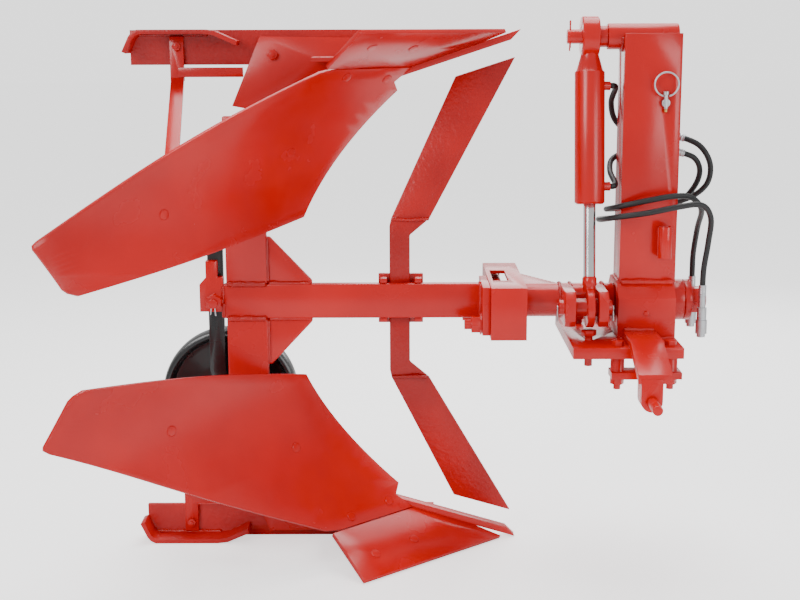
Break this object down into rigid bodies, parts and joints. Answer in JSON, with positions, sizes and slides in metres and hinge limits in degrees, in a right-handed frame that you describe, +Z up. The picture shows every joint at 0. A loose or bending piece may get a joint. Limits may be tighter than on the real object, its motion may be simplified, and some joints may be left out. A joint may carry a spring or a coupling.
{
  "type": "moldboard plough, single-furrow hydraulic reversible, three-point mounted",
  "caption": "Mounted reversible moldboard plough: a headstock with lift cylinder carries a beam with mirrored plough bottoms, knife coulters and a swinging gauge wheel.",
  "frame": {"origin": "on the ground under the middle of the plough, hoses and couplers left out", "axes": "+X direction of travel, +Y land (unploughed) side, +Z up"},
  "size_m": [1.4414, 0.8939, 1.263],
  "materials": {
    "red_paint": "gloss",
    "black_paint": "gloss",
    "chrome": "polished",
    "zinc_steel": "satin",
    "hose_rubber": "satin"
  },
  "bodies": {
    "headstock": {"base_plate": "red_paint", "bearing_block": "red_paint", "clamp_plate_front": "red_paint", "clamp_plate_rear": "red_paint", "coupler_lower": "zinc_steel", "coupler_upper": "zinc_steel", "cylinder_hose_lower": "hose_rubber", "cylinder_hose_upper": "hose_rubber", "cylinder_top_pin": "red_paint", "holder_tube": "red_paint", "link_arm_left": "red_paint", "link_arm_right": "red_paint", "link_pin_left": "red_paint", "link_pin_right": "red_paint", "mast": "red_paint", "mast_top_pipe": "red_paint", "supply_hose_lower": "hose_rubber", "supply_hose_upper": "hose_rubber", "top_link_pin": "zinc_steel", "valve_block": "red_paint"},
    "plough_frame": {"beam": "red_paint", "beam_end_plate": "red_paint", "castle_nut": "red_paint", "coulter_clamp": "red_paint", "coulter_lower": "red_paint", "coulter_upper": "red_paint", "crank_lug_front": "red_paint", "crank_lug_rear": "red_paint", "cross_tube": "red_paint", "frog_lower": "red_paint", "frog_upper": "red_paint", "landside_lower": "red_paint", "landside_upper": "red_paint", "leg_lower": "red_paint", "leg_upper": "red_paint", "mouldboard_lower": "red_paint", "mouldboard_upper": "red_paint", "offset_screw": "red_paint", "point_lower": "red_paint", "point_upper": "red_paint", "share_lower": "red_paint", "share_upper": "red_paint", "stay_lower": "red_paint", "stay_upper": "red_paint", "turnover_shaft": "red_paint", "wheel_pivot_bracket": "red_paint"},
    "cylinder_barrel": {"cylinder_barrel": "red_paint"},
    "cylinder_rod": {"cylinder_rod": "chrome"},
    "wheel_arm": {"wheel_arm": "black_paint"},
    "gauge_wheel": {"gauge_wheel": "black_paint"}
  },
  "joints": [
    {"name": "turnover", "type": "hinge", "parent": "headstock", "child": "plough_frame", "pos_m": [0.5059, 0.0619, 0.618], "axis": [1, 0, 0], "range_deg": [-180, 0]},
    {"name": "wheel_swing", "type": "hinge", "parent": "plough_frame", "child": "wheel_arm", "pos_m": [-0.4251, 0.0619, 0.618], "axis": [0, 1, 0], "range_deg": [0, 176]},
    {"name": "wheel_spin", "type": "hinge", "parent": "wheel_arm", "child": "gauge_wheel", "pos_m": [-0.4021, 0.1369, 0.378], "axis": [0, 1, 0], "continuous": true},
    {"name": "cylinder_swing", "type": "hinge", "parent": "headstock", "child": "cylinder_barrel", "pos_m": [0.4309, 0.0619, 1.218], "axis": [1, 0, 0], "range_deg": [0, 2.97]},
    {"name": "rod_slide", "type": "slide", "parent": "cylinder_barrel", "child": "cylinder_rod", "axis": [0, 0.1564, 0.9877], "range_m": [0, 0.102]}
  ],
  "couplings": [
    {"joint": "cylinder_swing", "follows": "rod_slide", "rad_per_m": 0.5}
  ]
}
